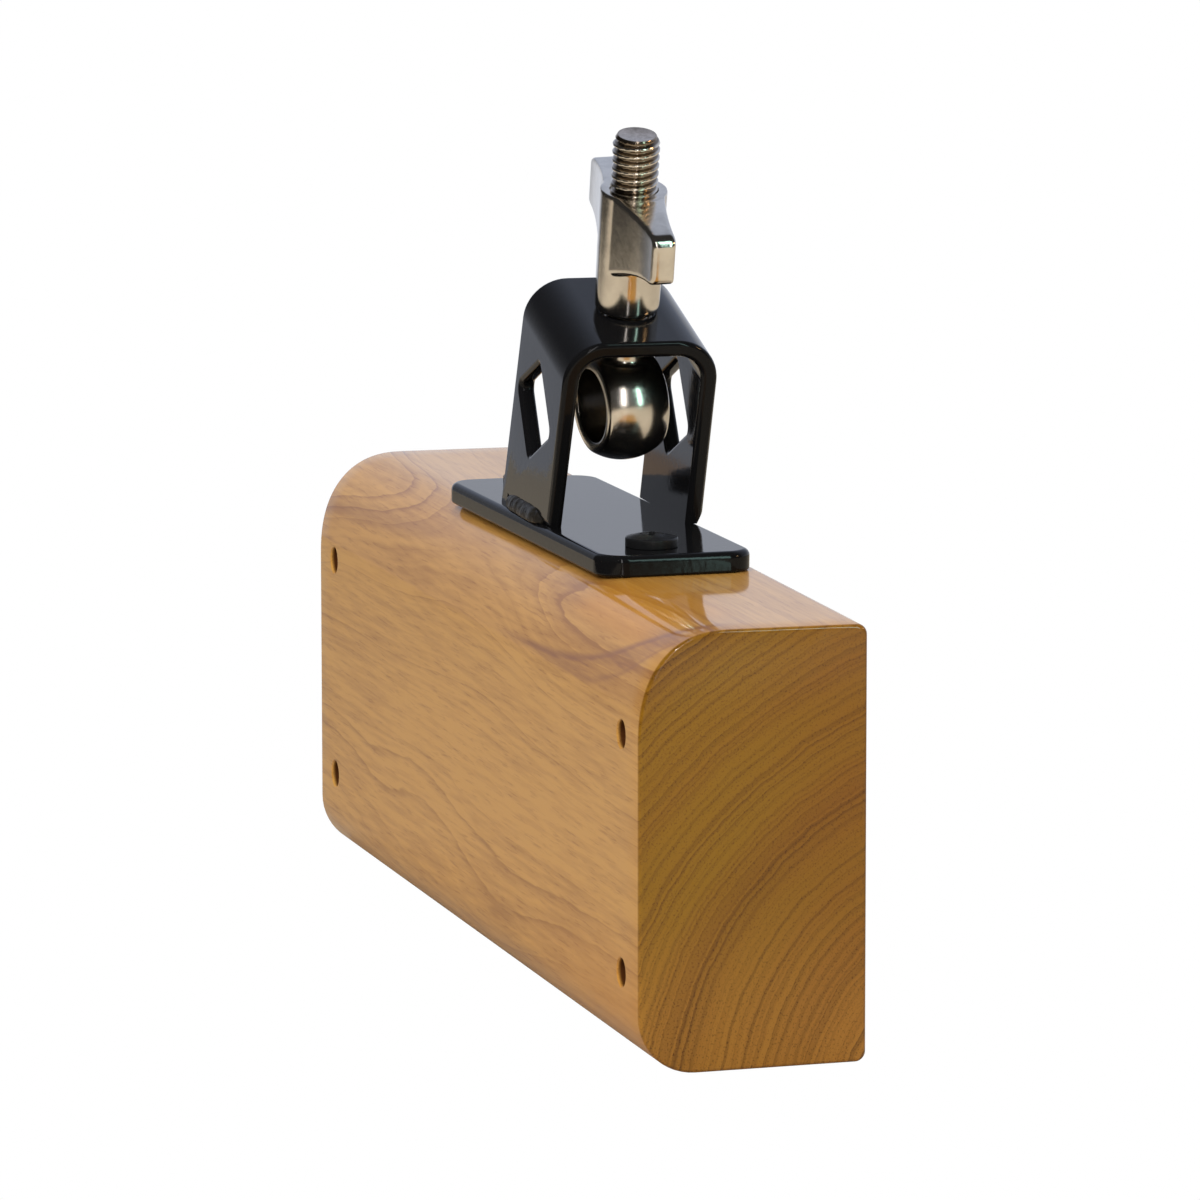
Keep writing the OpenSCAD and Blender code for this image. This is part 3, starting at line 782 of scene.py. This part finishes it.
def boltMaterial():
    # r is the distance from the bolt's axis: painted shade in the roots of the thread, a dull sawn end,
    # painted shade inside the bore, and a softer polish on the ball
    material, t, shader, where, metal = nickelMaterial("nickelBolt", nickel["ballRoughness"])
    x, y, z = t.parts(t.within(where, onStrap))
    r = t.distance(x, y)
    outer = bolt["diameter"] / 2
    # painted shade in the roots of the thread
    root = t.times(t.fade(r, outer - 0.10, outer - 0.45), t.fade(z, 0, 1))
    end = t.times(t.fade(z, bolt["reach"] - 0.3, bolt["reach"] - 0.1), t.fade(r, 3.4, 2.9))
    across, along, up = t.parts(t.within(where, inEye))
    # painted shade inside the eye's bore
    boreShadeMask = t.fade(t.distance(across, up), bolt["bore"] / 2 + 0.45, bolt["bore"] / 2 + 0.2)
    rust = t.range(t.noise(where, 900.0, 3.0, 0.6), 0.3, 0.7, 0.5, 1.0)
    colour = t.mix(t.times(root, 0.85), metal["Color"], bolt["rootShade"])
    colour = t.mix(t.times(boreShadeMask, 0.8), colour, bolt["boreShade"])
    t.fill(shader["Base Color"], t.mix(t.times(end, rust), colour, bolt["endColour"]))
    t.fill(shader["Roughness"], t.math("MAXIMUM", metal["Roughness"], t.times(end, 0.16)))
    return material


def nutMaterial():
    # the plating by itself
    material, t, shader, where, metal = nickelMaterial("nickelNut", nickel["roughness"])
    t.fill(shader["Base Color"], metal["Color"])
    t.fill(shader["Roughness"], metal["Roughness"])
    return material


def eyeRing():
    # profile (distance from the bore's axis, place along it), closed on itself: the ball's arc, two
    # flats, and the bore with round lips
    radius, half, bore = bolt["eye"] / 2, bolt["eyeWidth"] / 2, bolt["bore"] / 2
    rim, lip = bolt["rim"], bolt["boreRound"]
    edge = math.sqrt(radius ** 2 - half ** 2) - rim * 0.7
    turn = math.degrees(math.asin((half - rim * 0.6) / radius))
    wall = np.linspace(half - lip, -half + lip, 8)[1:-1]
    return np.concatenate([arc(0, 0, radius, -turn, turn, 30), [[edge, half]], [[bore + 0.5, half]],
                           arc(bore + lip, half - lip, lip, 90, 180, 5)[1:],
                           np.stack([np.full(6, bore), wall], axis=-1),
                           arc(bore + lip, -half + lip, lip, 180, 270, 5)[:-1],
                           [[bore + 0.5, -half]], [[edge, -half]]])


def threadedShank(steps=72, turnSteps=14):
    # rings about Z from inside the ball to the sawn end; the thread is
    # r = R - depth V(z/pitch - t/2pi), with V a rounded groove that fades in and out, and it stays
    # inside the cone of the chamfer
    radius, eye, fillet = bolt["diameter"] / 2, bolt["eye"] / 2, bolt["fillet"]
    side = radius + fillet
    rise = math.sqrt((eye + fillet) ** 2 - side ** 2)
    top = bolt["eyeDrop"] + bolt["reach"]
    start = rise + 1.5
    z = np.concatenate([np.arange(start, top + 1e-6, bolt["pitch"] / turnSteps), [top]])[:, None]
    t = np.linspace(0, 2 * np.pi, steps, endpoint=False)
    wave = 0.5 + 0.5 * np.cos(2 * np.pi * (z / bolt["pitch"] - t[None, :] / (2 * np.pi)))
    groove = np.clip(1.35 * wave - 0.12, 0, 1)
    fade = np.clip((z - start) / 2.5, 0, 1) * np.clip((top - z) / 0.3, 0, 1)
    cone = bolt["end"] / 2 + (top - z) * (radius - bolt["end"] / 2) / bolt["chamfer"]
    r = np.minimum(radius - bolt["depth"] * groove * fade, cone)
    thread = np.stack([r * np.cos(t), r * np.sin(t), z + 0 * t], axis=-1)
    neck = arc(side, rise, fillet, 180 + math.degrees(math.atan2(rise, side)), 180, 8)
    lower = revolve(np.concatenate([[[1.5, rise * 0.72]], neck, [[radius, rise + 0.8]]]), steps)
    cap = revolve(np.array([[bolt["end"] / 2 - 0.35, top], [bolt["end"] / 2 - 0.6, top - 0.08]]), steps)
    return np.concatenate([lower, thread, cap])


def makeBolt():
    ball = newMesh("eyeBolt", *joinedLoft(revolve(eyeRing(), steps=120)), inEye @ turned("X", 90))
    shank = newMesh("shank", *loft(threadedShank()), onStrap @ moved(0, 0, -bolt["eyeDrop"]))
    shape(ball, [shank], "UNION")
    smooth(ball, 40)
    dress(ball, "bolt", ["eye_bolt"], boltLook)


# Wing nut

nut = dict(hub=10.9, hubTop=11.3, height=21.7, rim=0.9, clearance=0.05, reach=19.1, root=11, tip=4,
           tipRound=2.1, tipTop=20.1, tipBottom=11.7, rootBottom=6.2, corner=1, edge=0.5, turn=2,
           voxel=0.2)


def wings():
    # sections along u, round-cornered boxes whose half thickness is
    # tip/2 + (root - tip)/2 (1 - share)^1.8, lower edge rootBottom + rise sin(90 share) and upper edge
    # height - fall share^2, as in the source; drawn in at the tips by quarter circles
    r, reach, high, edge = nut["corner"], nut["reach"], nut["height"], nut["edge"]
    close = r * np.sin(np.radians(np.linspace(0, 90, 7)[1:]))
    u = np.concatenate([np.linspace(0, reach - r, 40), reach - r + close])
    u = np.concatenate([-u[:0:-1], u])
    share = np.clip(np.abs(u) / reach, 0, 1)
    half = nut["tip"] / 2 + (nut["root"] - nut["tip"]) / 2 * (1 - share) ** 1.8
    under = nut["rootBottom"] + (nut["tipBottom"] - nut["rootBottom"]) * np.sin(np.pi / 2 * share)
    over = high - (high - nut["tipTop"]) * share ** 2
    thinner = 0.9 * fallAway(np.clip((np.abs(u) - (reach - r)) / r, 0, 1))
    tip = nut["tipRound"]
    lower = tip * fallAway(np.clip((np.abs(u) - reach + tip) / tip, 0, 1))
    steps = 9
    corner = roundBox(2 * edge, 2 * edge, edge, steps)
    signs = np.repeat([[1, 1], [-1, 1], [-1, -1], [1, -1]], steps, axis=0)
    size = np.stack([half - thinner - edge, (over - under - 2 * lower * 0.8) / 2 - edge], axis=-1)
    rings = np.zeros((len(u), len(corner), 3))
    rings[:, :, 0] = u[:, None]
    rings[:, :, 1:] = corner + signs * size[:, None, :]
    rings[:, :, 2] += (over + under)[:, None] / 2
    return rings


def makeNut():
    # hub: a cone from hub to hubTop with a round lower rim, joined with the wings and softened
    rim, top = nut["rim"], nut["height"]
    low, high = nut["hub"] / 2, nut["hubTop"] / 2
    hub = np.concatenate([[[0.5, 0]], arc(low - rim, rim, rim, -90, 0, 8), [[high, top]], [[0.5, top]]])
    piece = newMesh("wingNut", *loft(revolve(hub, steps=96)))
    shape(piece, [newMesh("wings", *loft(wings()))], "UNION")
    remesh = piece.modifiers.new("remesh", "REMESH")
    remesh.mode, remesh.voxel_size = "VOXEL", nut["voxel"] * mm
    soften = piece.modifiers.new("smooth", "SMOOTH")
    soften.factor, soften.iterations = 0.5, 8
    settle(piece)
    bore = bolt["diameter"] / 2 + nut["clearance"]
    hole = np.array([[bore + 0.5, -1], [bore + 0.5, 0], [bore, 0.5], [bore, top - 0.15],
                     [bore + 0.15, top], [bore + 0.15, top + 1]])
    shape(piece, [newMesh("bore", *loft(revolve(hole, steps=96)))])
    joinPoints(piece)
    # the bolt leans, so the nut stands on one side of its rim
    rise = nut["hub"] / 2 * math.tan(math.radians(bolt["lean"]))
    place = onStrap @ moved(0, 0, rise) @ turned("Z", nut["turn"])
    points = np.zeros(len(piece.data.vertices) * 3)
    piece.data.vertices.foreach_get("co", points)
    piece.data.vertices.foreach_set("co", put(points.reshape(-1, 3), place).ravel())
    piece.data.update()
    smooth(piece, 40)
    dress(piece, "nut", ["wing_nut"], nutLook)


# Studio, in metres

studio = dict(floorBefore=0.34, floorBehind=0.55, floorFar=4, floor=(0.55, 0.475, 0.375), white=(1, 1, 1),
              wallLow=(0.68, 0.72, 0.82), wallHigh=(0.47, 0.53, 0.68), room=(0.030, 0.029, 0.028),
              # from none to full of the wall by direction, sideways and downward, and between its colours
              wallSide=(0.35, 0.95), wallTop=(0.95, 0.80), wallBlend=(0.18, 0.30))
# two large soft lamps that no gloss shows, and small ones that draw streaks and dots on the metal
lamps = dict(
    key=dict(place=(1.15, -1.45, 1.35), target=(0, 0, 0.05), size=(1.5, 1.5), power=50,
             colour=(1.0, 0.98, 0.95), glossy=False),
    top=dict(place=(-0.3, 0.1, 2.2), target=(0, 0, 0.05), size=(1.6, 1.6), power=26,
             colour=(0.96, 0.98, 1.0), glossy=False),
    streakWhite=dict(place=(1.25, -0.24, 1.05), target=(0, -0.05, 1.05), size=(0.07, 1.8), power=4.5,
                     colour=(1.0, 0.97, 0.98)),
    streakTeal=dict(place=(1.25, 0.52, 1.0), target=(0, 0.05, 1.0), size=(0.10, 1.7), power=4.6,
                    colour=(0.62, 1.0, 0.93)),
    dot=dict(place=(1.4, -0.75, 1.55), target=(0, 0, 0.1), size=(0.05, 0.05), power=1.6,
             colour=(1.0, 0.95, 0.9)),
    warm=dict(place=(1.0, 1.5, 0.8), target=(0, 0, 0.1), size=(0.2, 0.2), power=5.0,
              colour=(1.0, 0.62, 0.30)))
view = dict(lens=255, sensor=36, yaw=73.094, pitch=9.814, roll=-0.043, place=(1.3588, -0.4090, 0.3056))


def makeLamp(name, place, target, size, power, colour, glossy=True):
    data = bpy.data.lights.new(name, "AREA")
    data.shape, data.size, data.size_y = "RECTANGLE", size[0], size[1]
    data.energy, data.color = power, colour
    lamp = bpy.data.objects.new(name, data)
    lamp.rotation_euler = (Vector(place) - Vector(target)).to_track_quat("Z", "Y").to_euler()
    lamp.location = place
    lamp.visible_glossy = glossy
    bpy.context.scene.collection.objects.link(lamp)


def makeFloor():
    # white to the camera and beige to everything else
    left, front, far = -studio["floorBehind"], -studio["floorBefore"], studio["floorFar"]
    corners = np.array([[left, front, 0], [far, front, 0], [far, far, 0], [left, far, 0]])
    floor = newMesh("floor", corners / mm, [[0, 1, 2, 3]])
    material = bpy.data.materials.new("floorWhite")
    material.use_nodes = True
    t = Tree(material.node_tree)
    t.tree.nodes.clear()
    eye = t.node("ShaderNodeLightPath").outputs["Is Camera Ray"]
    matte = t.node("ShaderNodeBsdfDiffuse", {"Color": studio["floor"]})
    white = t.node("ShaderNodeEmission", {"Color": studio["white"], "Strength": 1.0})
    both = t.node("ShaderNodeMixShader", {0: eye, 1: matte.outputs[0], 2: white.outputs[0]})
    t.node("ShaderNodeOutputMaterial", {"Surface": both.outputs[0]})
    floor.data.materials.append(material)


def makeWorld():
    # white to the camera; the object sees a pale bluish wall behind the block and a dark room elsewhere
    world = bpy.data.worlds.new("studio")
    bpy.context.scene.world = world
    world.use_nodes = True
    t = Tree(world.node_tree)
    t.tree.nodes.clear()
    x, y, z = t.parts(t.node("ShaderNodeTexCoord").outputs["Generated"])
    far = t.range(t.minus(t.times(y, 0.9), x), *studio["wallSide"])
    low = t.range(z, *studio["wallTop"])
    wall = t.mix(t.range(z, *studio["wallBlend"]), studio["wallLow"], studio["wallHigh"])
    room = t.mix(t.times(low, far), studio["room"], wall)
    eye = t.node("ShaderNodeLightPath").outputs["Is Camera Ray"]
    sky = t.node("ShaderNodeBackground", {"Color": t.mix(eye, room, studio["white"]), "Strength": 1.0})
    t.node("ShaderNodeOutputWorld", {"Surface": sky.outputs[0]})


def makeCamera():
    camera = bpy.data.objects.new("camera", bpy.data.cameras.new("camera"))
    camera.data.lens, camera.data.sensor_width = view["lens"], view["sensor"]
    camera.data.clip_start, camera.data.clip_end = 0.1, 20
    camera.rotation_euler = (Matrix.Rotation(math.radians(view["yaw"]), 3, "Z")
                             @ Matrix.Rotation(math.radians(90 - view["pitch"]), 3, "X")
                             @ Matrix.Rotation(math.radians(view["roll"]), 3, "Z")).to_euler()
    camera.location = view["place"]
    bpy.context.scene.collection.objects.link(camera)
    bpy.context.scene.camera = camera


# Build

fineGrain = grainGroup()
plating = platingGroup()
woodLook = woodMaterial()
paintLook = paintMaterial()
weldLook = weldMaterial()
steelLook = steelMaterial()
boltLook = boltMaterial()
nutLook = nutMaterial()
print("materials")
makeWood()
print("wood")
makePlate()
print("plate")
makeStrap()
print("strap")
makeBead("frontBead", "front_bead", -1, weld["radius"], weld["sink"], seed=4)
makeBead("backBead", "back_bead", 1, weld["backRadius"], strap["grooveWidth"], seed=9)
print("beads")
makeScrews()
print("screws")
makeBolt()
print("bolt")
makeNut()
print("nut")
makeFloor()
makeWorld()
for name, settings in lamps.items():
    makeLamp(name, **settings)
makeCamera()
bpy.context.scene.view_settings.view_transform = "Standard"
print("studio")
